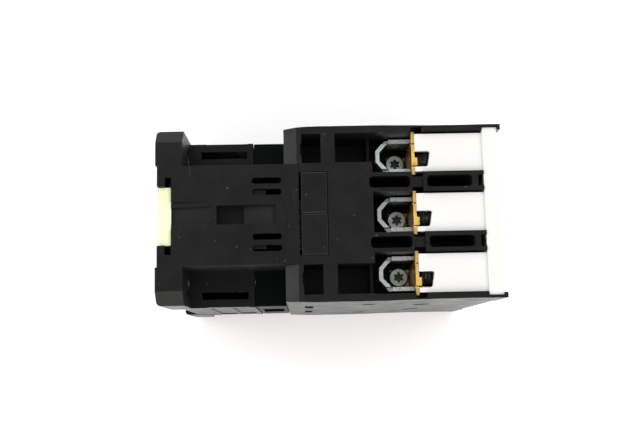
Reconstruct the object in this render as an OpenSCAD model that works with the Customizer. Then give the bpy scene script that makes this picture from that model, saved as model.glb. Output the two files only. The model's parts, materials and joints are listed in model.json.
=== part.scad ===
// Three-pole contactor for a 35 mm rail, standing on its line end with the load end up.
// X runs across the poles, +Y is the panel side, -Y the front cover, Z runs from line end to load end.

/* [Overall] */
// Width across the three poles
body_w = 45; // [44:0.5:56]
// Depth from the panel face to the tips of the front hooks
body_d = 88.5; // [88:0.5:110]
// Height from the line end to the load end
body_h = 85; // [83:1:105]

/* [Housing] */
// Thickness of the moulded housing walls
wall = 2; // [1.6:0.1:2.6]
// Width of one terminal channel
channel_w = 10.5; // [10.3:0.1:11]
// Thickness of the outer side wall beside a channel
side_wall = 1.75; // [1.4:0.05:2.4]
// Depth of the four corner notches beside the decks
notch_depth = 18.7; // [16:0.1:19]
// Half the width of the deck at each end
deck_half = 12.8; // [11.5:0.1:13.2]
// Thickness of the mounting feet
foot_t = 6.9; // [6:0.1:8]

/* [Rail and panel mount] */
// Width of the mounting rail
rail_w = 35; // [35:35]
// Diameter of the four panel screw holes
foot_hole_d = 4.5; // [3.5:0.1:5.5]
// Spacing of the panel holes across the poles
foot_hole_pitch = 35; // [33.5:0.1:36.5]
// Distance of the panel holes from each end
foot_hole_inset = 12.5; // [8:0.1:14]
// Travel of the rail latch when it is levered open
latch_travel = 3.5; // [2:0.1:4]

/* [Terminals] */
// Thread diameter of a terminal screw
screw_d = 4.8; // [3.8:0.1:5]
// Pitch of the terminal screw thread
screw_pitch = 0.8; // [0.7:0.05:0.9]
// Distance of the terminal screws from each end
screw_inset = 12.5; // [12:0.1:13.5]
// Thickness of the clamp cage strip
cage_wall = 1.05; // [0.8:0.05:1.1]
// Height of the clamp cage
cage_h = 9; // [7.5:0.1:9]

/* [Magnet and contacts] */
// Stroke of the armature and the contact carrier
stroke = 5; // [3.5:0.1:5]
// Open gap between fixed and moving contact tips
contact_gap = 3.5; // [2.5:0.1:3.5]
// Stack thickness of the magnet laminations
stack = 14; // [11:0.5:15]
// Width of the centre leg of the magnet
centre_leg = 12.2; // [9:0.1:13]
// Width of each outer leg of the magnet
outer_leg = 6; // [5:0.1:7]
// Diameter of the contact tips
tip_d = 5.5; // [4:0.1:6]

/* [Hidden] */
$fn = 48;

// Lengths called t run forward from the panel face; from_end runs inward from an end face.
cut = 0.1;                          // how far a cutting body runs past the face it opens
fit = 0.15;                         // gap between a piece and the pocket that holds it
centre_z = body_h / 2;
pole_pitch = (body_w - 2 * side_wall - channel_w) / 2;
poles = [-1, 0, 1];

// Stations along the depth
seat_t = 4;                         // face that the rail lies against
lip_t = 2.4;                        // front of the lips that reach behind the rail
pad_step = 0.45;                    // middle of the panel side, set back from the corner pads
pad_x = 13;                         // inner edge of the corner pads
shell_t = 24;                       // front rim of the rear housing
collar_w = 1.5;                     // collar round that rim
frame_t = 24.2;                     // coil frame, seen between the two housings
frame_end_t = 32.5;
front_t = 32.7;                     // rear face of the front housing
tongue_t = 36.4;                    // front end of the deck tongue
clip_slot_t = 36.5;
clip_t = 37;
clip_end_t = 43.6;
channel_t = 55.3;                   // rear wall of the terminal channels
bar_t = 65.7;                       // rear face of the fixed contacts
bar_thick = 0.8;
hood_t = bar_t + bar_thick - 0.1;   // rear lip of the white hoods, which reaches over the contacts
hook_t = 0.9;                       // thickness of the front hooks
cover_t = body_d - 4.7;             // rear face of the cover plate
cover_end_t = body_d - hook_t;      // front face of the cover plate
mid_wall_t = 48;                    // wall between magnet and contacts

// Magnet
core_clear = 1.3;
core_len = body_h - 2 * notch_depth - 2 * wall - 2 * core_clear;
core_t = seat_t + 1.5 + 1.5;        // behind it lie the housing wall and the cushion
yoke_t = 7;
pole_face_t = core_t + 17.5;
armature_t = pole_face_t + stroke + 0.05;
armature_leg = 9;
armature_yoke = 6.5;
armature_end_t = armature_t + armature_leg + armature_yoke;
window_z = core_len / 2 - outer_leg;            // inner face of the outer legs
tube_x = stack / 2 + 0.3;
tube_z = centre_leg / 2 + 0.3;
tube_wall = 1.2;
flange_x = tube_x + tube_wall + 6.4;
flange_z = window_z - 0.35;
rivet_z = core_len / 2 - outer_leg / 2;

// Contacts
tip_h = 1.2;
tip_z = 11.3;                       // distance of the tips from the middle plane
bridge_t = bar_t + bar_thick + 2 * tip_h + contact_gap;
bridge_thick = 1.4;
bridge_half_z = tip_z + 2.9;
bridge_half_x = 3;
carrier_half_z = 5.2;
window_front_t = bridge_t + bridge_thick + 7.4;
tower_t = window_front_t + 1.5;
crossbar_t = 60;
crossbar_end_t = 66;
chamber_inset = 21.8;               // end of the arc chambers, from each end face
floor_inset = 19.8;                 // floor of the terminal channels, from each end face

// Terminals
cage_half = channel_w / 2 - 0.75;
cage_t = 56.8;
cage_front_t = 72.6;
cage_nut = 1.8;
cage_top = 7.4;                     // outer edge of the cage, from the end
cage_offset = 0.3;                  // the cage hangs a little to one side of its channel
bar_half = 3;
shoulder_half = channel_w / 2 + 0.45;
shoulder_inset = 2.4;
shoulder_h = 3.4;
head_d = 7.4;
head_t = cover_t - 3.5;
contact_screw_t = 62.75;

module seated() translate([0, body_d / 2, 0]) mirror([0, 1, 0]) children();

// A box from its low to its high corner
module block(x0, x1, t0, t1, z0, z1) translate([x0, t0, z0]) cube([x1 - x0, t1 - t0, z1 - z0]);

// A box centred on the middle plane of the width
module centred(half, t0, t1, z0, z1) block(-half, half, t0, t1, z0, z1);

// A shape drawn at the load end, measured as distances inward from that end
module load_end() translate([0, 0, body_h]) mirror([0, 0, 1]) children();

module both_ends() {
    children();
    load_end() children();
}

module both_sides() {
    children();
    mirror([1, 0, 0]) children();
}

module at_pole(p) translate([p * pole_pitch, 0, 0]) children();

module at_poles() for (p = poles) at_pole(p) children();

// A cylinder along the depth
module rod_t(r, t0, t1, x = 0, z = 0) translate([x, t0, z]) rotate([-90, 0, 0]) cylinder(r = r, h = t1 - t0);

// A cylinder along the width
module rod_x(r, x0, x1, t, z) translate([x0, t, z]) rotate([0, 90, 0]) cylinder(r = r, h = x1 - x0);

// A profile drawn in (t, z) and extended across the width
module across(x0, x1) translate([x0, 0, 0]) rotate([90, 0, 90]) linear_extrude(x1 - x0) children();

// A long hole with round ends along the depth, cut from the end face inward
module slot_cut(x, t0, t1, width, depth) {
    r = width / 2;
    translate([x, 0, -cut]) linear_extrude(depth + cut) {
        translate([-r, t0 + r]) square([width, t1 - t0 - width]);
        for (t = [t0 + r, t1 - r]) translate([0, t]) circle(r);
    }
}

// A long hole with rounded corners along the depth, cut from the end face inward
module rib_slot(x, t0, t1, width, depth) {
    r = 0.32 * width;
    translate([x, 0, -cut]) linear_extrude(depth + cut) {
        translate([-width / 2, t0 + r]) square([width, t1 - t0 - 2 * r]);
        translate([-width / 2 + r, t0]) square([width - 2 * r, t1 - t0]);
        for (s = [-1, 1], t = [t0 + r, t1 - r]) translate([s * (width / 2 - r), t]) circle(r);
    }
}

// ---------------------------------------------------------------- rear housing

foot_round = 1;
foot_chamfer_x = 3.5;
foot_chamfer_z = 3;

// One end's pair of mounting feet and what joins them, from that end inward
module foot_block(length) intersection() {
    linear_extrude(length) union() {
        translate([-body_w / 2, foot_round]) square([body_w, foot_t - foot_round]);
        translate([-body_w / 2 + foot_round, 0]) square([body_w - 2 * foot_round, foot_t]);
        for (s = [-1, 1]) translate([s * (body_w / 2 - foot_round), foot_round]) circle(foot_round);
    }
    translate([0, foot_t + cut, 0]) rotate([90, 0, 0]) linear_extrude(foot_t + 2 * cut) polygon([
        [-body_w / 2, length], [-body_w / 2, foot_chamfer_z], [-body_w / 2 + foot_chamfer_x, 0],
        [body_w / 2 - foot_chamfer_x, 0], [body_w / 2, foot_chamfer_z], [body_w / 2, length]
    ]);
}

deck_skin = 2;
deck_core_half = 4.4;

// The box under one end's deck, with the tongue that runs into the front housing
module deck() {
    centred(deck_half, seat_t, shell_t, 0, notch_depth + wall);
    centred(deck_half, shell_t - cut, front_t - cut, 0, notch_depth);
    centred(deck_half, front_t - 2 * cut, tongue_t, 0, deck_skin);
}

module deck_hollow() difference() {
    centred(deck_half - 1.8, foot_t + wall, front_t, deck_skin, notch_depth + wall + 1);
    centred(deck_core_half, seat_t, front_t - 0.7, 0, deck_skin + 3.7);
}

pocket_half = 2.45;

// Bars under the skin, which close half of two of the slots
module vent_bars() {
    block(4.7, 6.3, 24, 28, 0.9, deck_skin + 2);
    block(-8.8, -7.7, 24, 28, 0.9, deck_skin + 2);
}

module deck_openings() {
    difference() {
        for (x = [5.7, 8.65]) both_sides() slot_cut(x, 24.5, 32, 1.6, deck_skin + 1);
        vent_bars();
    }
    across(-pocket_half, pocket_half) polygon([
        [15.5, -cut], [15.5, 3.8], [22.3, 3.8], [22.3, 2.6], [29.6, 1], [29.6, 0.6], [30.5, 0.6], [30.5, -cut]
    ]);
}

// The ramp that guides a screwdriver to the latch
module lever_groove() {
    across(-3.5, 3.5) polygon([[seat_t - 1, -cut], [seat_t - 1, 0.9], [13, 0], [13, -cut]]);
    across(-2.15, 2.15) polygon([[seat_t - 1, -cut], [seat_t - 1, 1.9], [14.4, 0.35], [14.4, -cut]]);
    translate([0, 15.6, -2.15]) rotate([90 + 11, 0, 0]) cylinder(r = 2.35, h = 13);
}

latch_half = 7.4;
wing_half = 9.6;
latch_end = 1;                      // how far the latch sits below the end face
rail_edge = centre_z + rail_w / 2;
latch_foot_z = rail_edge + 1.6;

module latch_guide() {
    centred(latch_half + fit, -cut, seat_t, rail_edge + 1 - cut, body_h + cut);
    centred(wing_half + 0.3, lip_t, seat_t, rail_edge + 1 - cut, body_h + cut);
}

shell_half = body_w / 2 - 0.1;
cavity_half = shell_half - wall;

module rear_housing() color("#2b2c2d") seated() difference() {
    union() {
        centred(shell_half, seat_t, shell_t, notch_depth, body_h - notch_depth);
        centred(body_w / 2, shell_t - collar_w, shell_t, notch_depth, body_h - notch_depth);
        for (z = [notch_depth, body_h - notch_depth - 4])
            centred(body_w / 2, seat_t, 11, z, z + 4);
        foot_block(centre_z - rail_w / 2 - 0.6);
        centred(pad_x, pad_step, lip_t, centre_z - rail_w / 2 - 1, centre_z - rail_w / 2 + 2.6);
        load_end() foot_block(centre_z - rail_w / 2 - 1);
        both_ends() deck();
    }
    centred(cavity_half, core_t - 1.5, shell_t + cut, notch_depth + wall, body_h - notch_depth - wall);
    both_ends() deck_hollow();
    both_ends() deck_openings();
    load_end() lever_groove();
    centred(pad_x, -cut, pad_step, -cut, body_h + cut);
    latch_guide();
    centred(body_w, lip_t, seat_t, centre_z - rail_w / 2 - 0.6, centre_z);
    for (x = [-1, 1], z = [foot_hole_inset, body_h - foot_hole_inset])
        rod_t(foot_hole_d / 2, -cut, foot_t + cut, x * foot_hole_pitch / 2, z);
    both_sides() both_ends()
        block(18.3, 20.3, 9.7, 22.3, notch_depth - cut, notch_depth + wall + cut);
    for (x = [-1, 1]) translate([x * 16.2, 0, centre_z]) for (z = [-12, -6, 0, 6, 12])
        block(-1.6, 1.6, seat_t - cut, core_t - 1.5 + cut, z - 1, z + 1);
    difference() {
        both_sides() block(shell_half - 0.25, body_w, 11.5, shell_t - collar_w, notch_depth + 4,
            body_h - notch_depth - 4);
        both_sides() block(0, body_w, 16.4, 17.6, 0, body_h);
    }
}

// The small post that the latch spring pushes against
module spring_post() block(-1.2, 1.2, 2, seat_t + 0.5, latch_foot_z + 12.4, latch_foot_z + 13.8);

// ---------------------------------------------------------------- front housing

side_curve_end = 44;
side_tuck = 0.3;
side_waist = 0.25;
function side_inset(t) = side_tuck * pow(max(0, side_curve_end - t) / (side_curve_end - front_t), 2)
    + side_waist * max(0, 1 - pow((t - 76) / 18, 2));
function side_x(t) = body_w / 2 - round(20 * side_inset(t)) / 20;
side_steps = [front_t, 34.5, 36.5, 38.5, 41, side_curve_end, 58, 62, 66, 71, 76, 80, cover_t];

window_x0 = 12.95;
window_x1 = body_w / 2 - 1.9;

// Openings of one end beside the deck: a small and a large window over one shared pocket
module side_windows() {
    block(window_x0, window_x1, 37.3, 42.2, -cut, 4);
    block(window_x0 + 2, window_x1 - 2.5, 36.9, 38, -cut, 4);
    block(window_x0, window_x1, 45.8, channel_t + cut, -cut, 9);
    block(window_x0, window_x1, 37.3, channel_t - 0.8, 3, 15.5);
}

rib_x = pole_pitch / 2;
rib_slot_w = pole_pitch - channel_w - 2;

// Hollows in the rib between two channels, from one end
module rib_openings() {
    rib_slot(rib_x, 54.4, bar_t - 0.8, rib_slot_w, 15);
    rib_slot(rib_x, 69.2, 80.8, rib_slot_w, 15);
    block(rib_x - rib_slot_w / 2, rib_x + rib_slot_w / 2, 82.3, cover_t + cut, -cut, 10);
    block(rib_x - 2.6, rib_x + 2.6, bar_t - 0.2, bar_t + 2.55, -cut, 0.8);
}

// What the fixed contact needs in its channel: shoulder notches and the way through the floor
module contact_seat() {
    centred(channel_w / 2 + 1.2, bar_t - 0.35, bar_t + 2.55, -cut, shoulder_inset + shoulder_h + fit);
    centred(bar_half + fit, bar_t - fit, bar_t + bar_thick + fit, floor_inset - 1, chamber_inset + 1);
}

// The bridge over the screw, which keeps the cage in its channel
module cage_keeper() difference() {
    centred(channel_w / 2 + cut, hood_t + 0.7, hood_t + 5.6, 5.3, 6.9);
    block(-4, 0.9, hood_t + 1.1, hood_t + 4.8, 4, 8);
}

module contact_screw_boss() centred(2.8, 59.9, bar_t - 0.4, chamber_inset - 1, chamber_inset + 6);

module front_hooks() both_sides() {
    block(body_w / 2 - hook_t, side_x(cover_t), cover_t - cut, cover_end_t + cut, 0, body_h);
    both_ends() block(body_w / 2 - 1.6, side_x(cover_t), cover_end_t, body_d, 0, 16);
}

module clip_recess() {
    centred(deck_half + 0.05, front_t - cut, clip_slot_t, -cut, deck_skin + 0.05);
    centred(10.7, clip_slot_t - cut, clip_end_t + 0.2, -cut, deck_skin);
    centred(10.5, clip_slot_t - cut, clip_t, -cut, 6);
    both_sides() block(2.9, 7.1, 39.4, 41.6, 0, 5);
}

coil_tab_x0 = 14;
coil_tab_x1 = 19.5;
coil_tab_from_end = 13.4;
coil_tab_thick = 0.8;

// Ways through the front housing for the coil's two terminal strips
module coil_tab_ways() both_sides() {
    block(coil_tab_x0 - 0.2, coil_tab_x1 + 0.2, front_t - cut, frame_end_t + 1.6, coil_tab_from_end - 0.5, 24.3);
    block(coil_tab_x0 - 0.2, coil_tab_x1 + 0.2, front_t, 37.4, coil_tab_from_end - 0.5, coil_tab_from_end + 1.3);
}

module side_marks() both_sides() {
    for (z = [28, body_h - 28]) translate([body_w / 2 - 0.7, 38.6, z]) hull_slot(1.2, 12);
    for (z = [18, body_h - 18]) rod_x(1.9, body_w / 2 - 0.6, body_w, 54.6, z);
    for (z = [28, body_h - 28]) rod_x(2.6, body_w / 2 - 0.6, body_w, 70, z);
}

// A long shallow recess on the side wall, with round ends
module hull_slot(r, length) rotate([0, 90, 0]) linear_extrude(5) {
    square([length - 2 * r, 2 * r], center = true);
    for (s = [-1, 1]) translate([s * (length / 2 - r), 0]) circle(r);
}

module front_housing() color("#2b2c2d") seated() {
    difference() {
        union() {
            linear_extrude(body_h) polygon(concat(
                [for (t = side_steps) [side_x(t), t]],
                [for (i = [len(side_steps) - 1:-1:0]) [-side_x(side_steps[i]), side_steps[i]]]
            ));
            front_hooks();
        }
        both_ends() both_sides() across(deck_half + 0.05, body_w / 2 + 1)
            polygon([[front_t - 1, 2.6], [front_t - 1, -1], [37.2, -1], [37.2, 0], [36, 0.2]]);
        centred(18.5, front_t - cut, mid_wall_t, notch_depth + wall - 0.7, body_h - notch_depth - wall + 0.7);
        both_ends() centred(10.5, front_t - cut, channel_t - 3, deck_skin + wall, notch_depth + 2 * wall);
        centred(7.9, mid_wall_t - cut, crossbar_t - stroke - 0.4, centre_z - 5.5, centre_z + 5.5);
        at_poles() centred(channel_w / 2, mid_wall_t + wall, cover_t + cut, chamber_inset, body_h - chamber_inset);
        centred(pole_pitch + 4.5, crossbar_t - stroke - 0.5, cover_t + cut, centre_z - 5.8, centre_z + 5.8);
        both_ends() {
            at_poles() centred(channel_w / 2, channel_t, cover_t + cut, -cut, floor_inset);
            at_poles() contact_seat();
            at_poles() translate([0, contact_screw_t, floor_inset - cut]) cylinder(r = 1.3, h = 9);
            both_sides() rib_openings();
            both_sides() side_windows();
            clip_recess();
        }
        coil_tab_ways();
        side_marks();
    }
    both_ends() at_poles() cage_keeper();
    both_ends() at_poles() difference() {
        contact_screw_boss();
        translate([0, contact_screw_t, 0]) cylinder(r = 1.3, h = chamber_inset + 7);
    }
}

// ---------------------------------------------------------------- cover and clips

hood_half = channel_w / 2 - 0.2;
hood_inset = 1;

// The white hood over one channel, seen from its end, with the screwdriver guide in front
module hood() {
    difference() {
        block(-hood_half, hood_half - 0.3, hood_t, cover_t, hood_inset, 5.1);
        block(-hood_half + 0.7, hood_half - 1, hood_t - cut, head_t - 0.4, hood_inset + 1.3, 6);
        centred(hood_half + cut, hood_t - cut, hood_t + 0.3, hood_inset + 1.3, 6);
        linear_extrude(4) polygon([
            [0.3, hood_t - cut], [0.3, hood_t + 3.5], [-0.1, hood_t + 3.9], [-3.4, hood_t + 3.35],
            [-3.8, hood_t + 2.9], [-3.8, hood_t - cut]
        ]);
    }
    difference() {
        block(-hood_half, hood_half - 0.3, head_t - 0.4, cover_t + cut, hood_inset, floor_inset - 0.3);
        rod_t(head_d / 2 + 0.3, head_t - 1, cover_t + 2 * cut, 0, screw_inset);
        across(-hood_half - cut, hood_half + cut) polygon([
            [cover_t - 2.4, hood_inset], [cover_t - 2.4, hood_inset - 1], [cover_t, hood_inset - 1],
            [cover_t, hood_inset + 0.8]
        ]);
    }
}

cover_half = body_w / 2 - hook_t - 0.1;
head_window_x = 4.6;
head_window_z = 5;

module front_cover() color("#f3f2ee") seated() difference() {
    union() {
        centred(cover_half, cover_t, cover_end_t, 0.4, body_h - 0.4);
        both_ends() at_poles() hood();
        for (x = [-1, 1], z = [centre_z]) translate([x * 10.2, 0, z])
            block(-0.9, 0.9, cover_end_t - 1, body_d, -7.5, 7.5);
    }
    for (s = [-1, 1]) centred(cover_half - 1.4, cover_t - cut, cover_end_t - 1.8,
        centre_z + s * 13 - 11, centre_z + s * 13 + 11);
    centred(head_window_x, cover_t - cut, body_d, centre_z - head_window_z, centre_z + head_window_z);
    both_ends() at_poles() {
        rod_t(3.2, cover_t - cut, body_d, 0, screw_inset);
        translate([0, cover_end_t - 1.4, screw_inset]) rotate([-90, 0, 0]) cylinder(r1 = 3.2, r2 = 4.4, h = 1.5);
    }
    centred(14.15, cover_end_t - 0.5, body_d, centre_z + 10.35, centre_z + 18.15);
    both_sides() block(12.6, 15.4, cover_t - cut, body_d, centre_z - 5, centre_z + 5);
    both_ends() both_sides() block(rib_x - 0.6, rib_x + 0.6, cover_end_t - 0.5, body_d, 5, 20);
}

module marker_plate() color("#d9dad8") seated()
    centred(14, cover_end_t - 0.5, cover_end_t + 0.1, centre_z + 10.5, centre_z + 18);

// The plate that locks the two housings together at one end
module housing_clip() seated() difference() {
    union() {
        centred(10.55, clip_t, clip_end_t, 0.05, deck_skin);
        both_sides() block(3, 7, 39.5, 41.5, deck_skin - cut, deck_skin + 4);
        both_sides() block(3, 7, 39.5, 42.6, deck_skin + 3, deck_skin + 4);
    }
    centred(0.12, clip_t - cut, clip_end_t + cut, -cut, 0.25);
}

module housing_clip_load() color("#2b2c2d") load_end() housing_clip();
module housing_clip_line() color("#2b2c2d") housing_clip();

// ---------------------------------------------------------------- rail latch

spring_pocket_half = 1.6;

module rail_latch() color("#dce8b4") seated() difference() {
    union() {
        centred(latch_half, 0.35, seat_t - 0.1, latch_foot_z, body_h - latch_end);
        centred(wing_half, lip_t + fit, seat_t - fit, latch_foot_z + 2.4, body_h - latch_end - 9);
        across(-latch_half, latch_half) polygon([
            [0.5, latch_foot_z + cut], [lip_t - 0.1, latch_foot_z + cut], [lip_t - 0.1, latch_foot_z - 4],
            [lip_t - 0.7, latch_foot_z - 4], [0.5, latch_foot_z - 1.6]
        ]);
    }
    block(-spring_pocket_half, spring_pocket_half, 1.6, seat_t, latch_foot_z + 4.4, latch_foot_z + 14.2);
    block(-2.6, 2.6, lip_t, seat_t, body_h - latch_end - 4.2, body_h - latch_end - 1);
    both_sides() block(4, 5.6, -cut, 1.1, latch_foot_z + 6, body_h - latch_end - 5);
    translate([0, 0.35, body_h - latch_end]) rotate([45, 0, 0]) cube([50, 1, 1], center = true);
}

// ---------------------------------------------------------------- springs

spring_sides = 6;
ring_per_turn = 12;

function spring_point(r, wire, pitch, i, k) =
    let (a = 360 * i / ring_per_turn, b = 360 * k / spring_sides, q = r + wire / 2 * cos(b))
    [q * cos(a), q * sin(a), pitch * i / ring_per_turn + wire / 2 * sin(b)];

// A helical spring standing on z = 0, its wire centre on radius r
module spring(r, wire, length, turns) {
    rings = turns * ring_per_turn;
    pitch = (length - wire) / turns;
    points = [for (i = [0:rings], k = [0:spring_sides - 1]) spring_point(r, wire, pitch, i, k)];
    sides = [for (i = [0:rings - 1], k = [0:spring_sides - 1]) let (m = (k + 1) % spring_sides) [
        i * spring_sides + k, (i + 1) * spring_sides + k, (i + 1) * spring_sides + m, i * spring_sides + m
    ]];
    caps = [
        [for (k = [0:spring_sides - 1]) k],
        [for (k = [spring_sides - 1:-1:0]) rings * spring_sides + k]
    ];
    translate([0, 0, wire / 2]) polyhedron(points, concat(sides, caps), convexity = 4);
}

// A spring along the depth, from t0 to t1
module spring_t(r, wire, t0, t1, turns) translate([0, t0, 0]) rotate([-90, 0, 0]) spring(r, wire, t1 - t0, turns);

module latch_spring() color("#b9bdc0") seated()
    translate([0, 2.75, latch_foot_z + 4.45]) spring(0.85, 0.3, 7.9, 8);

module return_spring(side) color("#b9bdc0") seated() translate([side * 12.7, 0, centre_z])
    spring_t(2.4, 0.6, frame_end_t + 0.05, armature_end_t + 0.1, 6);

module return_spring_left() return_spring(-1);
module return_spring_right() return_spring(1);

module contact_spring(p) color("#b9bdc0") seated() at_pole(p) translate([0, 0, centre_z])
    spring_t(2.2, 0.6, bridge_t + bridge_thick + 0.05, window_front_t - 0.05, 5);

module contact_spring_1() contact_spring(-1);
module contact_spring_2() contact_spring(0);
module contact_spring_3() contact_spring(1);

// ---------------------------------------------------------------- magnet and coil

module core_cushion() color("#1d1d1e") seated() translate([0, 0, centre_z])
    centred(stack / 2 - 0.5, core_t - 1.5, core_t, -core_len / 2 + 1.5, core_len / 2 - 1.5);

// An E-shaped stack, its yoke from t = 0 and its legs up to the given lengths
module e_stack(yoke, outer, centre) {
    centred(stack / 2, 0, yoke, -core_len / 2, core_len / 2);
    centred(stack / 2, 0, yoke + centre, -centre_leg / 2, centre_leg / 2);
    for (s = [-1, 1]) mirror([0, 0, s > 0 ? 0 : 1])
        centred(stack / 2, 0, yoke + outer, window_z, core_len / 2);
}

ring_wire = 1.1;
ring_z = core_len / 2 - outer_leg * 0.55;

module fixed_core() color("#8d9093") seated() translate([0, core_t, centre_z]) difference() {
    e_stack(yoke_t, 10.5, 10.4);
    for (s = [-1, 1]) {
        mirror([0, 0, s > 0 ? 0 : 1])
            centred(stack, yoke_t + 8.8, yoke_t + 11, ring_z, ring_z + ring_wire + 0.1);
        rod_x(1.35, -stack, stack, 3.5, s * rivet_z);
        rod_x(1.35, -stack, stack, 12, s * rivet_z);
    }
}

module rivet(t, z) {
    rod_x(1.3, -stack / 2 - 0.4, stack / 2 + 0.4, t, z);
    both_sides() rod_x(2.2, stack / 2 + 0.02, stack / 2 + 0.8, t, z);
}

module core_rivets() color("#a7abae") seated() translate([0, core_t, centre_z])
    for (t = [3.5, 12], s = [-1, 1]) rivet(t, s * rivet_z);

// Copper rings round the outer half of each outer pole face
module shading_rings() color("#b87440") seated() translate([0, core_t + yoke_t, centre_z])
    for (s = [-1, 1]) mirror([0, 0, s > 0 ? 0 : 1]) difference() {
        centred(stack / 2 + ring_wire + 0.05, 8.9, 10.1, ring_z + 0.05, core_len / 2 + ring_wire);
        centred(stack / 2 + 0.05, 8, 11, ring_z + ring_wire + 0.05, core_len / 2 + 0.05);
    }

module coil_bobbin() color("#16301f") seated() translate([0, 0, centre_z]) difference() {
    union() {
        centred(tube_x + tube_wall, core_t + yoke_t + 0.4, frame_end_t, -tube_z - tube_wall, tube_z + tube_wall);
        centred(flange_x, core_t + yoke_t + 0.4, core_t + yoke_t + 1.6, -flange_z, flange_z);
        difference() {
            centred(shell_half, frame_t, frame_end_t, notch_depth + 0.2 - centre_z,
                centre_z - notch_depth - 0.2);
            centred(cavity_half - 0.4, frame_t - cut, frame_end_t - 1.3, -core_len / 2 - 1, core_len / 2 + 1);
        }
    }
    centred(tube_x, core_t, frame_end_t + cut, -tube_z, tube_z);
    for (s = [-1, 1]) mirror([0, 0, s > 0 ? 0 : 1])
        centred(stack / 2 + 0.4, frame_t, frame_end_t + cut, flange_z, core_len / 2 + 0.5);
    both_sides() block(body_w / 2 - 0.8, body_w, frame_t + 1.2, frame_end_t - 1.2, -10, 10);
}

winding_t0 = core_t + yoke_t + 1.7;
winding_t1 = frame_end_t - 1.4;

// A wound ring round the bobbin's tube, with round corners
module wound(x, z, t0, t1, hole_x, hole_z, r = 4) translate([0, t1, 0]) rotate([90, 0, 0])
    linear_extrude(t1 - t0) difference() {
        union() {
            square([2 * x, 2 * (z - r)], center = true);
            square([2 * (x - r), 2 * z], center = true);
            for (a = [-1, 1], b = [-1, 1]) translate([a * (x - r), b * (z - r)]) circle(r);
        }
        square([2 * hole_x, 2 * hole_z], center = true);
    }

module coil_winding() color("#a4552c") seated() translate([0, 0, centre_z])
    wound(flange_x - 1, flange_z - 0.8, winding_t0, winding_t1, tube_x + tube_wall, tube_z + tube_wall);

module coil_tape() color("#d8b53c") seated() translate([0, 0, centre_z]) difference() {
    wound(flange_x - 0.6, flange_z - 0.4, winding_t0 + 0.4, winding_t1 - 0.4, 1, 1, 4.4);
    wound(flange_x - 0.98, flange_z - 0.78, winding_t0, winding_t1, 0.1, 0.1, 4.02);
    centred(2, 0, body_d, -2, 2);
}

module coil_terminals() color("#c9c7bf") seated() both_sides() {
    block(coil_tab_x0, coil_tab_x1, frame_end_t, frame_end_t + coil_tab_thick, coil_tab_from_end, 24);
    block(coil_tab_x0, coil_tab_x1, frame_end_t, channel_t - 1.2, coil_tab_from_end,
        coil_tab_from_end + coil_tab_thick);
}

// A sprung loop that presses the coil wire against its strip
module coil_clamp_springs() color("#d5d8da") seated() both_sides()
    across(coil_tab_x0 + 0.5, coil_tab_x1 - 0.5) difference() {
        union() {
            translate([48.6, 9.6]) circle(3.8);
            translate([48.6, 5.8]) square([5, 7.55]);
        }
        translate([48.6, 9.6]) circle(3.3);
        translate([48.6, 6.3]) square([4.5, 6.6]);
        translate([51.5, 4]) square([3, 7]);
    }

module armature() color("#8d9093") seated() translate([0, armature_end_t, centre_z]) mirror([0, 1, 0])
    difference() {
        e_stack(armature_yoke, armature_leg, armature_leg - 0.15);
        rod_x(1.35, -stack, stack, 3, 0);
        for (s = [-1, 1]) rod_x(1.35, -stack, stack, 3, s * rivet_z);
    }

module armature_rivets() color("#a7abae") seated() translate([0, armature_end_t - 3, centre_z])
    for (s = [-1, 1]) rivet(0, s * rivet_z);

holder_end_t = mid_wall_t - 0.1;
cheek_x = stack / 2 + 0.15;

module armature_pin() color("#b4b8ba") seated()
    rod_x(1.3, -cheek_x - 2, cheek_x + 2, armature_end_t - 3, centre_z);

// Holds the armature to the carrier and carries the return springs
module armature_holder() color("#3a3b3d") seated() translate([0, 0, centre_z]) difference() {
    union() {
        centred(16.5, armature_end_t + 0.15, holder_end_t, -7, 7);
        both_sides() block(cheek_x, cheek_x + 2, armature_end_t - 5.5, holder_end_t, -7, 7);
    }
    rod_x(1.32, -body_w, body_w, armature_end_t - 3, 0);
}

// ---------------------------------------------------------------- contacts

head_half_x = head_window_x - 0.4;
head_half_z = head_window_z - 0.4;

module contact_carrier() color("#232426") seated() translate([0, 0, centre_z]) difference() {
    union() {
        centred(7.6, holder_end_t, crossbar_t + 1, -carrier_half_z, carrier_half_z);
        centred(pole_pitch + 4.1, crossbar_t, crossbar_end_t, -carrier_half_z, carrier_half_z);
        at_poles() centred(4.2, crossbar_t, tower_t, -carrier_half_z, carrier_half_z);
        centred(head_half_x, crossbar_t, cover_end_t - 2, -head_half_z, head_half_z);
    }
    at_poles() centred(bridge_half_x + 0.15, bridge_t, window_front_t, -body_h, body_h);
    both_sides() rod_t(1.6, holder_end_t - cut, crossbar_end_t - 2, 4.4, 0);
}

module indicator_cap() color("#dce8b4") seated() translate([0, 0, centre_z])
    centred(head_half_x, cover_end_t - 2, cover_end_t - 0.6, -head_half_z, head_half_z);

module contact_bridge(p) color("#b87333") seated() at_pole(p) translate([0, 0, centre_z]) difference() {
    centred(bridge_half_x, bridge_t, bridge_t + bridge_thick, -bridge_half_z, bridge_half_z);
    for (z = [-1, 1], x = [-1, 1]) translate([x * bridge_half_x, 0, z * bridge_half_z]) rotate([0, 45, 0])
        cube([2, 200, 2], center = true);
}

module contact_bridge_1() contact_bridge(-1);
module contact_bridge_2() contact_bridge(0);
module contact_bridge_3() contact_bridge(1);

// The twelve contact tips are silver buttons; side tells which six
module tips(t) seated() at_poles() for (s = [-1, 1]) rod_t(tip_d / 2, t, t + tip_h, 0, centre_z + s * tip_z);

module moving_tips() color("#dadcdd") tips(bridge_t - tip_h);
module fixed_tips() color("#dadcdd") tips(bar_t + bar_thick);

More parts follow.
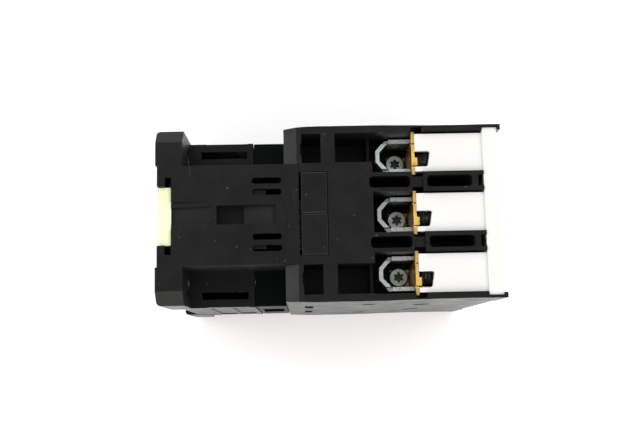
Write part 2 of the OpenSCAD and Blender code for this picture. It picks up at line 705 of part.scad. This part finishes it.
// One fixed contact, from the middle of the pole to its terminal, seen from its end
module fixed_contact(p) seated() at_pole(p) difference() {
    union() {
        centred(bar_half, bar_t, bar_t + bar_thick, shoulder_inset, centre_z - tip_z + tip_d / 2 + 0.5);
        centred(shoulder_half, bar_t, bar_t + bar_thick, shoulder_inset, shoulder_inset + shoulder_h);
        block(-bar_half - 0.4, -1.1, bar_t, hood_t + 0.8, shoulder_inset, shoulder_inset + 2.2);
        centred(2.2, contact_screw_t - 2.2, bar_t + cut, floor_inset - 1, floor_inset);
    }
    for (x = [2.5, -3.4]) block(x - 0.15, x + 0.15, bar_t - cut, hood_t + 2, 0, shoulder_inset + 1.2);
    translate([0, contact_screw_t, 0]) cylinder(r = 1.4, h = floor_inset + 1);
}

module load_contact_1() color("#d9a441") load_end() fixed_contact(-1);
module load_contact_2() color("#d9a441") load_end() fixed_contact(0);
module load_contact_3() color("#d9a441") load_end() fixed_contact(1);
module line_contact_1() color("#d9a441") fixed_contact(-1);
module line_contact_2() color("#d9a441") fixed_contact(0);
module line_contact_3() color("#d9a441") fixed_contact(1);

star_r = 1.42;
screw_head_h = 2.2;

// A pan-head screw with a six-lobe socket, which holds a fixed contact to the channel floor
module contact_screw() translate([0, contact_screw_t, floor_inset - 1]) mirror([0, 0, 1]) difference() {
    union() {
        cylinder(r = 2.65, h = screw_head_h - 0.4);
        translate([0, 0, screw_head_h - 0.4]) cylinder(r1 = 2.65, r2 = 2.3, h = 0.4);
        translate([0, 0, -7.5]) cylinder(r = 1.25, h = 7.6);
    }
    translate([0, 0, 0.5]) linear_extrude(screw_head_h) union() {
        circle(1);
        for (a = [0:60:300]) rotate(a) translate([star_r - 0.36, 0]) circle(0.36);
        for (a = [0:60:120]) rotate(a) square([2 * (star_r - 0.36), 0.72], center = true);
    }
}

module contact_screws() color("#c4c6c4") seated() both_ends() at_poles() contact_screw();

// ---------------------------------------------------------------- terminals

cage_flat = 1.5;
cage_shoulder = 2.6;

// Plan outline of a cage, taken in by d from its outside
module cage_outline(d) {
    h = cage_half - d;
    f = cage_flat - 0.34 * d;
    polygon([
        [-h, cage_front_t - (d > 0 ? cage_nut : 0)], [-h, cage_t + cage_shoulder + 0.48 * d], [-f, cage_t + d],
        [f, cage_t + d], [h, cage_t + cage_shoulder + 0.48 * d], [h, cage_front_t - (d > 0 ? cage_nut : 0)]
    ]);
}

// The steel cage of one terminal, drawn from its end
module cage(p) color("#ced3d6") seated() at_pole(p) difference() {
    translate([cage_offset, 0, cage_top]) linear_extrude(cage_h) difference() {
        cage_outline(0);
        cage_outline(cage_wall);
    }
    for (x = [-1, 1]) translate([cage_offset + x * (cage_half + 0.3), cage_t + 2.3, cage_top])
        cube([2.8, 2.2, 3], center = true);
    rod_t(screw_d / 2 + 0.1, cage_front_t - cage_nut - cut, cage_front_t + cut, 0, screw_inset);
}

module load_cage_1() load_end() cage(-1);
module load_cage_2() load_end() cage(0);
module load_cage_3() load_end() cage(1);
module line_cage_1() cage(-1);
module line_cage_2() cage(0);
module line_cage_3() cage(1);

screw_t = bar_t + bar_thick + 0.1;
thread_depth = 0.4;
thread_turns = floor((head_t - screw_t - 0.6) / screw_pitch);

// Radius and height of the shank's outline at half turn i of the thread
function thread_point(i) = [screw_d / 2 - (i % 2 == 0 ? thread_depth : 0), 0.3 + i * screw_pitch / 2];

module screw(p) color("#c3c8cb") seated() at_pole(p) translate([0, screw_t, screw_inset]) rotate([-90, 0, 0])
    difference() {
        union() {
            rotate_extrude() polygon(concat(
                [[0, 0], [screw_d / 2 - thread_depth, 0]],
                [for (i = [0:2 * thread_turns]) thread_point(i)],
                [[screw_d / 2 - thread_depth, head_t - screw_t + cut], [0, head_t - screw_t + cut]]
            ));
            translate([0, 0, head_t - screw_t]) cylinder(r = head_d / 2, h = 2.5);
            translate([0, 0, head_t - screw_t + 2.5]) cylinder(r1 = head_d / 2, r2 = head_d / 2 - 0.5, h = 0.5);
        }
        translate([0, 0, head_t - screw_t + 2.3]) {
            cube([6.2, 1, 2], center = true);
            cube([1, 6.2, 2], center = true);
            cube([2.4, 2.4, 2.6], center = true);
        }
    }

module load_screw_1() load_end() screw(-1);
module load_screw_2() load_end() screw(0);
module load_screw_3() load_end() screw(1);
module line_screw_1() screw(-1);
module line_screw_2() screw(0);
module line_screw_3() screw(1);

union() { rear_housing(); color("#2b2c2d") seated() spring_post(); }
front_housing();
front_cover();
housing_clip_load();
housing_clip_line();
marker_plate();
rail_latch();
latch_spring();
core_cushion();
fixed_core();
core_rivets();
shading_rings();
coil_bobbin();
coil_winding();
coil_tape();
coil_terminals();
coil_clamp_springs();
armature();
armature_rivets();
armature_pin();
armature_holder();
return_spring_left();
return_spring_right();
contact_carrier();
indicator_cap();
contact_bridge_1();
contact_bridge_2();
contact_bridge_3();
moving_tips();
contact_spring_1();
contact_spring_2();
contact_spring_3();
load_contact_1();
load_contact_2();
load_contact_3();
line_contact_1();
line_contact_2();
line_contact_3();
fixed_tips();
contact_screws();
load_cage_1();
load_cage_2();
load_cage_3();
line_cage_1();
line_cage_2();
line_cage_3();
load_screw_1();
load_screw_2();
load_screw_3();
line_screw_1();
line_screw_2();
line_screw_3();
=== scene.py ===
import json
import math

import bmesh
import bpy
from mathutils import Matrix, Vector


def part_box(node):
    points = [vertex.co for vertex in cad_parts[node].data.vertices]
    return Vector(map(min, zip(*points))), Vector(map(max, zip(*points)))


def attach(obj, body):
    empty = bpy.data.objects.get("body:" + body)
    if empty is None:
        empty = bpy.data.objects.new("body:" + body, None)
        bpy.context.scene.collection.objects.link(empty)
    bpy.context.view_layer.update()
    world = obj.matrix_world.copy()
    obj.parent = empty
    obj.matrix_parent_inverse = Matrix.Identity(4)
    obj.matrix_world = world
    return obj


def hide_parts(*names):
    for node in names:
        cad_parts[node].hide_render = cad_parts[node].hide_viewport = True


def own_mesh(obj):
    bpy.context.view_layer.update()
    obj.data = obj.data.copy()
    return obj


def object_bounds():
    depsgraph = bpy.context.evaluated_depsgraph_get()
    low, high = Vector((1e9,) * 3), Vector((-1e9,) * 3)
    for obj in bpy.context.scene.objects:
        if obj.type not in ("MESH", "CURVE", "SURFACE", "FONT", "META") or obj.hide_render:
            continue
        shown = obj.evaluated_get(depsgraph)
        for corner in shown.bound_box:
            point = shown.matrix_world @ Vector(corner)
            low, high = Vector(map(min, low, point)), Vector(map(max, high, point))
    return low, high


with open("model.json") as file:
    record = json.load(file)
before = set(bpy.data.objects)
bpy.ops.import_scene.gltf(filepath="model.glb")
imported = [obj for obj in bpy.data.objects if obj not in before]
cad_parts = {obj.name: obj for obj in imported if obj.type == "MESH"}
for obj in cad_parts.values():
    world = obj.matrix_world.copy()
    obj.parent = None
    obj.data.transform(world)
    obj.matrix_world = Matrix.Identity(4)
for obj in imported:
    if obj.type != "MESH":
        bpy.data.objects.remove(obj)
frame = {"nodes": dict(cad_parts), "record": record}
cad_box = [list(corner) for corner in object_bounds()]

MM = 0.001
low, high = (Vector(corner) for corner in cad_box)
height = high.z
scene = bpy.context.scene


# ---------------------------------------------------------------- node helpers

def new_material(name):
    material = bpy.data.materials.new(name)
    material.use_nodes = True
    tree = material.node_tree
    tree.nodes.clear()
    output = tree.nodes.new("ShaderNodeOutputMaterial")
    shader = tree.nodes.new("ShaderNodeBsdfPrincipled")
    tree.links.new(shader.outputs["BSDF"], output.inputs["Surface"])
    return material, tree, shader


def make(tree, kind, **settings):
    """A node with its settings: sockets by name, properties otherwise."""
    node = tree.nodes.new(kind)
    for key, value in settings.items():
        if hasattr(node, key):
            setattr(node, key, value)
        else:
            node.inputs[key.replace("_", " ")].default_value = value
    return node


def position(tree, stretch=(1, 1, 1)):
    """The place on the object, in metres, stretched along the axes."""
    place = make(tree, "ShaderNodeTexCoord")
    mapping = make(tree, "ShaderNodeMapping")
    mapping.inputs["Scale"].default_value = stretch
    tree.links.new(place.outputs["Object"], mapping.inputs["Vector"])
    return mapping.outputs["Vector"]


def noise(tree, size, detail=3, roughness=0.55, stretch=(1, 1, 1)):
    """Noise whose features are about size millimetres across."""
    node = make(tree, "ShaderNodeTexNoise")
    node.inputs["Scale"].default_value = 1 / (size * MM)
    node.inputs["Detail"].default_value = detail
    node.inputs["Roughness"].default_value = roughness
    tree.links.new(position(tree, stretch), node.inputs["Vector"])
    return node.outputs["Fac"]


def ramp(tree, value, *stops):
    """Maps a value through (place, colour or grey level) stops."""
    node = tree.nodes.new("ShaderNodeValToRGB")
    elements = node.color_ramp.elements
    for index, (place, level) in enumerate(stops):
        element = elements[index] if index < 2 else elements.new(place)
        element.position = place
        element.color = (*level, 1) if hasattr(level, "__len__") else (level, level, level, 1)
    tree.links.new(value, node.inputs["Fac"])
    return node.outputs["Color"]


def span(tree, value, start, end, first, last):
    """Maps start..end to first..last, held at both ends."""
    node = make(tree, "ShaderNodeMapRange")
    for name, number in (("From Min", start), ("From Max", end), ("To Min", first), ("To Max", last)):
        node.inputs[name].default_value = number
    tree.links.new(value, node.inputs["Value"])
    return node.outputs["Result"]


def math_node(tree, operation, a, b=None):
    node = make(tree, "ShaderNodeMath", operation=operation)
    for socket, value in zip(node.inputs, (a, b)):
        if value is None:
            continue
        if isinstance(value, (int, float)):
            socket.default_value = value
        else:
            tree.links.new(value, socket)
    return node.outputs["Value"]


def colour_mix(tree, factor, a, b, blend="MIX"):
    node = make(tree, "ShaderNodeMix", data_type="RGBA", blend_type=blend)
    sockets = [s for s in node.inputs if s.enabled]
    for socket, value in zip(sockets, (factor, a, b)):
        if isinstance(value, bpy.types.NodeSocket):
            tree.links.new(value, socket)
        elif hasattr(value, "__len__"):
            socket.default_value = (*value, 1)
        else:
            socket.default_value = value
    return [s for s in node.outputs if s.enabled][0]


def bump(tree, shader, value, strength, distance):
    """Raises the surface by a value, on top of any bump the shader already has."""
    node = make(tree, "ShaderNodeBump")
    node.inputs["Strength"].default_value = strength
    node.inputs["Distance"].default_value = distance * MM
    tree.links.new(value, node.inputs["Height"])
    earlier = shader.inputs["Normal"].links
    if earlier:
        tree.links.new(earlier[0].from_socket, node.inputs["Normal"])
    tree.links.new(node.outputs["Normal"], shader.inputs["Normal"])


# ---------------------------------------------------------------- materials

def moulded(name, colour, roughness, grain=0.25, depth=0.02, scuffs=0.0, variation=0.15, gloss=0.4):
    """Moulded plastic: eroded-mould grain, faint flow marks, dust in specks and pale scuffs."""
    material, tree, shader = new_material(name)
    broad = noise(tree, 14, 2)
    darker, lighter = ([c * (1 + step) for c in colour] for step in (-variation, variation))
    tint = ramp(tree, broad, (0.3, darker), (0.7, lighter))
    if scuffs:
        specks = ramp(tree, noise(tree, 1.1, 1, 0.3), (0.765, 0.0), (0.80, 1.0))
        marks = ramp(tree, noise(tree, 2.6, 4, 0.7, (0.25, 1, 1)), (0.66, 0.0), (0.80, 1.0))
        dust = math_node(tree, "MULTIPLY", specks, 0.9)
        dirt = math_node(tree, "ADD", dust, math_node(tree, "MULTIPLY", marks, 0.35))
        pale = [min(1, c * 4 + 0.05) for c in colour]
        tint = colour_mix(tree, math_node(tree, "MULTIPLY", dirt, scuffs), tint, pale)
    tree.links.new(tint, shader.inputs["Base Color"])
    wear = span(tree, noise(tree, 5, 4), 0.3, 0.7, roughness - 0.06, roughness + 0.08)
    tree.links.new(wear, shader.inputs["Roughness"])
    shader.inputs["Specular IOR Level"].default_value = gloss
    bump(tree, shader, noise(tree, grain, 3, 0.6), 0.35, depth)
    bump(tree, shader, noise(tree, 9, 1), 0.15, 0.12)
    return material


def steepness(tree):
    """1 on faces that stand upright, 0 on faces that look up or down."""
    place = make(tree, "ShaderNodeNewGeometry")
    split = make(tree, "ShaderNodeSeparateXYZ")
    tree.links.new(place.outputs["Normal"], split.inputs["Vector"])
    return span(tree, math_node(tree, "ABSOLUTE", split.outputs["Z"]), 0.35, 0.8, 1, 0)


def metal(name, colour, roughness, tarnish, size=0.5, depth=0.012, amount=0.25, mottle=0.6, sides=None, bare=1.0):
    """Plated or plain metal: uneven surface, clouded plating, darker spots; sides is painted shade, a darker tint
    on the upright faces.

    bare is how much of it acts as clean metal, the rest scatters light.
    """
    material, tree, shader = new_material(name)
    cloud = noise(tree, 1.8, 4, 0.65)
    tint = ramp(tree, cloud, (0.35, tarnish), (0.62, colour))
    spots = ramp(tree, noise(tree, mottle, 2, 0.5), (0.6, 0.0), (0.7, 1.0))
    tint = colour_mix(tree, math_node(tree, "MULTIPLY", spots, amount), tint, [c * 0.3 for c in tarnish])
    # Painted shade: upright faces take the darker sides tint, faces that look up or down keep the plated colour.
    if sides:
        tint = colour_mix(tree, steepness(tree), tint, sides)
    tree.links.new(tint, shader.inputs["Base Color"])
    shader.inputs["Metallic"].default_value = bare
    dullness = span(tree, cloud, 0.3, 0.7, roughness + 0.12, roughness - 0.04)
    tree.links.new(dullness, shader.inputs["Roughness"])
    bump(tree, shader, noise(tree, size, 4, 0.7), 0.4, depth)
    return material


plastic = moulded("charcoal_plastic", (0.0072, 0.0078, 0.0068), 0.34, scuffs=0.5, gloss=0.2)
# The housing's rounded edges get a paler colour: a painted highlight, with scuffs of wear.
edge_highlight_plastic = moulded("charcoal_plastic_edge", (0.015, 0.0155, 0.0145), 0.32, scuffs=0.3, gloss=0.28)
carrier_black = moulded("carrier_black", (0.007, 0.007, 0.008), 0.4, gloss=0.3)
white = moulded("cover_white", (0.68, 0.675, 0.65), 0.36, grain=0.4, depth=0.008, variation=0.012)
marker = moulded("marker_grey", (0.56, 0.57, 0.57), 0.3, grain=0.5, depth=0.004, variation=0.02)
frame_green = moulded("frame_green", (0.0008, 0.0030, 0.0016), 0.42, scuffs=0.1, gloss=0.07)
rubber = moulded("cushion_rubber", (0.012, 0.012, 0.012), 0.7, grain=0.3, depth=0.05)
tape = moulded("tape_yellow", (0.66, 0.40, 0.06), 0.28, grain=0.8, depth=0.01, variation=0.06)

latch_green = moulded("latch_green", (0.77, 0.84, 0.52), 0.38, grain=0.5, depth=0.006, variation=0.05)
latch_shader = next(n for n in latch_green.node_tree.nodes if n.type == "BSDF_PRINCIPLED")
latch_shader.inputs["Subsurface Weight"].default_value = 0.55
latch_shader.inputs["Subsurface Radius"].default_value = (1.0, 0.9, 0.35)
latch_shader.inputs["Subsurface Scale"].default_value = 2.2 * MM

# Zinc with a thin clear passivation scatters some of the light; so do sheared brass edges.
# The sides colours of zinc and brass are painted shade on their upright faces.
zinc = metal("zinc_plate", (0.96, 1.0, 1.0), 0.24, (0.84, 0.95, 0.97), size=0.8, depth=0.11, amount=0.6,
    mottle=0.75, sides=(0.26, 0.29, 0.29), bare=0.6)
screw_zinc = metal("screw_zinc", (0.93, 0.96, 0.90), 0.26, (0.74, 0.80, 0.74), depth=0.03, amount=0.35,
    bare=0.6)
brass = metal("terminal_brass", (1.0, 0.72, 0.19), 0.28, (1.0, 0.57, 0.09), size=0.7, depth=0.07, amount=0.6,
    mottle=0.8, sides=(0.36, 0.18, 0.035), bare=0.6)
copper = metal("copper", (0.90, 0.48, 0.30), 0.25, (0.62, 0.28, 0.16), size=0.4)
silver = metal("contact_silver", (0.86, 0.85, 0.82), 0.3, (0.6, 0.58, 0.54))
tinned = metal("tinned_strip", (0.80, 0.80, 0.80), 0.24, (0.6, 0.6, 0.6))
spring_steel = metal("spring_steel", (0.72, 0.73, 0.75), 0.2, (0.5, 0.5, 0.52), size=0.2)
rivet_steel = metal("rivet_steel", (0.55, 0.56, 0.58), 0.32, (0.36, 0.36, 0.37))


def wave_scale(pitch):
    """Scale of a wave texture whose bands are pitch millimetres apart."""
    return 1 / (pitch * MM) / 20


def laminated(name):
    """A stack of half-millimetre sheets across the width, ground on its faces."""
    material, tree, shader = new_material(name)
    sheets = make(tree, "ShaderNodeTexWave", wave_type="BANDS", bands_direction="X", wave_profile="SAW")
    sheets.inputs["Scale"].default_value = wave_scale(0.5)
    sheets.inputs["Distortion"].default_value = 0
    tree.links.new(position(tree, (10, 1, 1)), sheets.inputs["Vector"])
    groove = ramp(tree, sheets.outputs["Fac"], (0.0, 0.0), (0.16, 1.0))
    tint = ramp(tree, noise(tree, 3, 3), (0.3, (0.34, 0.34, 0.35)), (0.7, (0.47, 0.47, 0.48)))
    tree.links.new(colour_mix(tree, groove, (0.10, 0.08, 0.07), tint), shader.inputs["Base Color"])
    shader.inputs["Metallic"].default_value = 0.9
    tree.links.new(span(tree, noise(tree, 0.8, 4), 0.3, 0.7, 0.34, 0.5), shader.inputs["Roughness"])
    bump(tree, shader, groove, 0.6, 0.08)
    return material


laminations = laminated("laminated_steel")


def enamelled(name):
    """Fine enamelled wire, wound along the depth."""
    material, tree, shader = new_material(name)
    turns = make(tree, "ShaderNodeTexWave", wave_type="BANDS", bands_direction="Y", wave_profile="SIN")
    turns.inputs["Scale"].default_value = wave_scale(0.45)
    turns.inputs["Distortion"].default_value = 0.4
    turns.inputs["Detail Scale"].default_value = 0.2
    tree.links.new(position(tree, (1, 10, 1)), turns.inputs["Vector"])
    tint = ramp(tree, noise(tree, 4, 3), (0.3, (0.38, 0.10, 0.025)), (0.7, (0.58, 0.19, 0.05)))
    tree.links.new(colour_mix(tree, turns.outputs["Fac"], (0.10, 0.02, 0.01), tint), shader.inputs["Base Color"])
    shader.inputs["Metallic"].default_value = 0.35
    shader.inputs["Roughness"].default_value = 0.25
    shader.inputs["Coat Weight"].default_value = 0.6
    shader.inputs["Coat Roughness"].default_value = 0.12
    bump(tree, shader, turns.outputs["Fac"], 0.8, 0.18)
    return material


magnet_wire = enamelled("magnet_wire")


def socketed(name, depth):
    """Plated screw metal with painted shade: dark and less metallic further than depth from either end of the
    object, in the sockets and deeper in.
    """
    material = metal(name, (0.86, 0.93, 0.88), 0.3, (0.62, 0.70, 0.64), amount=0.3)
    tree = material.node_tree
    shader = next(n for n in tree.nodes if n.type == "BSDF_PRINCIPLED")
    split = make(tree, "ShaderNodeSeparateXYZ")
    tree.links.new(position(tree), split.inputs["Vector"])
    off_centre = math_node(tree, "ABSOLUTE", math_node(tree, "SUBTRACT", split.outputs["Z"], height / 2))
    # Painted shade mask: 1 further than depth from either end, 0 nearer the ends.
    painted_shade = span(tree, off_centre, height / 2 - depth - 0.1 * MM, height / 2 - depth + 0.1 * MM, 1, 0)
    # The dark green-grey is painted shade in the sockets.
    tint = colour_mix(tree, painted_shade, shader.inputs["Base Color"].links[0].from_socket, (0.10, 0.13, 0.10))
    tree.links.new(tint, shader.inputs["Base Color"])
    # Painted shade also halves the metallic reflection there.
    clean = math_node(tree, "SUBTRACT", 1.0, math_node(tree, "MULTIPLY", painted_shade, 0.5))
    tree.links.new(clean, shader.inputs["Metallic"])
    return material


star_screw = socketed("star_screw", 17.2 * MM)

SLOT_MATERIALS = {
    "housing_plastic": plastic, "cover_plastic": white, "marker_plastic": marker,
    "latch_plastic": latch_green,
    "cushion_rubber": rubber, "core_steel": laminations, "rivet_steel": rivet_steel, "copper": copper,
    "frame_plastic": frame_green, "magnet_wire": magnet_wire, "tape_plastic": tape, "tinned_steel": tinned,
    "spring_steel": spring_steel, "carrier_plastic": carrier_black, "contact_silver": silver,
    "screw_steel": screw_zinc, "terminal_brass": brass, "cage_steel": zinc,
}
EDGE_MATERIALS = {"housing_plastic": edge_highlight_plastic}
EDGE_WIDTH = {
    "housing_plastic": 0.22, "cover_plastic": 0.3, "latch_plastic": 0.3, "frame_plastic": 0.2,
    "carrier_plastic": 0.2, "terminal_brass": 0.12, "cage_steel": 0.2, "core_steel": 0.1,
    "marker_plastic": 0.15, "tinned_steel": 0.08, "screw_steel": 0.08, "cushion_rubber": 0.25,
}

for part in frame["record"]["subparts"]:
    node = frame["nodes"][part["node"]]
    slot_name = part["material_slot"]
    node.data.materials.clear()
    node.data.materials.append(star_screw if part["node"] == "contact_screws" else SLOT_MATERIALS[slot_name])
    width = EDGE_WIDTH.get(slot_name)
    if width is None:
        continue
    weld = node.modifiers.new("weld", "WELD")
    weld.merge_threshold = 0.002 * MM
    round_over = node.modifiers.new("edges", "BEVEL")
    round_over.width = width * MM
    round_over.segments = 2
    round_over.limit_method = "ANGLE"
    round_over.angle_limit = math.radians(32)
    round_over.harden_normals = True
    # Housing bevels take the paler edge material, a painted highlight.
    if slot_name in EDGE_MATERIALS:
        node.data.materials.append(EDGE_MATERIALS[slot_name])
        round_over.material = 1


# ---------------------------------------------------------------- springs

def wire_spring(name, box, along, wire, turns):
    """A wound spring of round wire that fills a box, with a closed turn at each end."""
    corner, far = box
    across = [k for k in range(3) if k != along]
    centre = (corner + far) / 2
    radius = (far[across[0]] - corner[across[0]] - wire) / 2
    length = far[along] - corner[along] - wire
    per_turn, sides = 36, 10
    closed = wire * 1.05
    rise = (length - 2 * closed) / (turns - 2)
    mesh = bpy.data.meshes.new(name)
    points, faces = [], []
    steps = turns * per_turn
    for i in range(steps + 1):
        turn = i / per_turn
        if turn < 1:
            lift = closed * turn
        elif turn > turns - 1:
            lift = length - closed * (turns - turn)
        else:
            lift = closed + rise * (turn - 1)
        angle = 2 * math.pi * turn
        for k in range(sides):
            bend = 2 * math.pi * k / sides
            reach = radius + wire / 2 * math.cos(bend)
            point = Vector((0, 0, 0))
            point[across[0]] = centre[across[0]] + reach * math.cos(angle)
            point[across[1]] = centre[across[1]] + reach * math.sin(angle)
            point[along] = corner[along] + wire / 2 + lift + wire / 2 * math.sin(bend)
            points.append(point)
    for i in range(steps):
        for k in range(sides):
            a, b = i * sides + k, i * sides + (k + 1) % sides
            faces.append((a, b, b + sides, a + sides))
    faces.append(tuple(range(sides)))
    faces.append(tuple(range(steps * sides, (steps + 1) * sides)))
    mesh.from_pydata(points, [], faces)
    mesh.validate()
    shape = bmesh.new()
    shape.from_mesh(mesh)
    bmesh.ops.recalc_face_normals(shape, faces=shape.faces)
    shape.to_mesh(mesh)
    shape.free()
    for face in mesh.polygons:
        face.use_smooth = len(face.vertices) == 4
    mesh.materials.append(spring_steel)
    piece = bpy.data.objects.new(name, mesh)
    scene.collection.objects.link(piece)
    return piece


def fit_spring(node, along, wire, turns, body):
    """Puts a wound spring in place of a CAD spring, carried whole by the given body."""
    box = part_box(node)
    low_end, high_end = (Vector(corner) for corner in box)
    piece = wire_spring("wound_" + node, (low_end, high_end), along, wire * MM, turns)
    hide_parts(node)
    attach(piece, body)
    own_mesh(piece)


fit_spring("latch_spring", 2, 0.3, 9, "housing")
for side in ("left", "right"):
    fit_spring("return_spring_" + side, 1, 0.6, 7, "housing")
for pole in (1, 2, 3):
    fit_spring(f"contact_spring_{pole}", 1, 0.6, 6, "carrier")


# ---------------------------------------------------------------- camera, floor and light

camera = bpy.data.cameras.new("camera")
camera.sensor_width = 36
camera.lens = 51.75
camera.clip_start = 0.01
camera_object = bpy.data.objects.new("camera", camera)
scene.collection.objects.link(camera_object)
# It looks down on the load end, with the width up the picture and the front cover to the right.
view_back = Vector((-0.1463, 0.0192, 0.98905)).normalized()
view_right = Vector((-0.0223, -0.9996, 0.0161))
view_up = view_back.cross(view_right).normalized()
view_right = view_up.cross(view_back)
camera_object.matrix_world = Matrix.Translation((
    (low.x + high.x) / 2 - 34.21 * MM, high.y - 37.21 * MM, high.z + 230.34 * MM
)) @ Matrix((view_right, view_up, view_back)).transposed().to_4x4()
scene.camera = camera_object

floor_material, floor_tree, floor_shader = new_material("floor_paper")
floor_shader.inputs["Base Color"].default_value = (0.96, 0.952, 0.945, 1)
floor_shader.inputs["Roughness"].default_value = 0.85
bump(floor_tree, floor_shader, noise(floor_tree, 2, 3), 0.05, 0.05)
floor_mesh = bpy.data.meshes.new("floor")
extent = 3.0                        # half the floor's side, in metres
floor_corners = [(-extent, -extent, 0), (extent, -extent, 0), (extent, extent, 0), (-extent, extent, 0)]
floor_mesh.from_pydata(floor_corners, [], [(0, 1, 2, 3)])
floor = bpy.data.objects.new("floor", floor_mesh)
floor.location.z = low.z - 0.05 * MM
floor.data.materials.append(floor_material)
scene.collection.objects.link(floor)


def soft_light(name, place, size, power, colour=(1, 1, 1)):
    """A square softbox, aimed at the middle of the object."""
    light = bpy.data.lights.new(name, "AREA")
    light.shape = "RECTANGLE"
    light.size, light.size_y = size
    light.energy = power
    light.color = colour
    holder = bpy.data.objects.new(name, light)
    holder.location = place
    aim = Vector((0, 0, height / 2)) - Vector(place)
    holder.rotation_euler = aim.to_track_quat("-Z", "Y").to_euler()
    scene.collection.objects.link(holder)


soft_light("rear_softbox", (0.1, 1.0, 0.75), (1.0, 0.8), 6.5, (0.93, 0.96, 1.0))
soft_light("front_softbox", (0.1, -1.0, 0.8), (1.0, 0.8), 5)
soft_light("right_softbox", (1.0, 0.0, 0.75), (1.0, 0.8), 5.5)
soft_light("left_softbox", (-1.0, -0.1, 0.7), (1.0, 0.8), 9.5, (1.0, 0.965, 0.94))

world = bpy.data.worlds.new("studio")
world.use_nodes = True
scene.world = world
tree = world.node_tree
background = next(n for n in tree.nodes if n.type == "BACKGROUND")
direction = make(tree, "ShaderNodeTexCoord")
split = make(tree, "ShaderNodeSeparateXYZ")
tree.links.new(direction.outputs["Generated"], split.inputs["Vector"])
# The camera's side of the room is dimmer than the softboxes round it.
dome = ramp(tree, split.outputs["Z"],
    (0.0, (0.66, 0.64, 0.62)), (0.3, (0.5, 0.5, 0.5)), (0.55, (1.0, 1.0, 1.0)), (0.8, (1.0, 1.0, 1.0)),
    (0.93, (0.7, 0.7, 0.7)), (1.0, (0.28, 0.28, 0.29)))
tree.links.new(dome, background.inputs["Color"])
background.inputs["Strength"].default_value = 0.8

scene.view_settings.view_transform = "Standard"
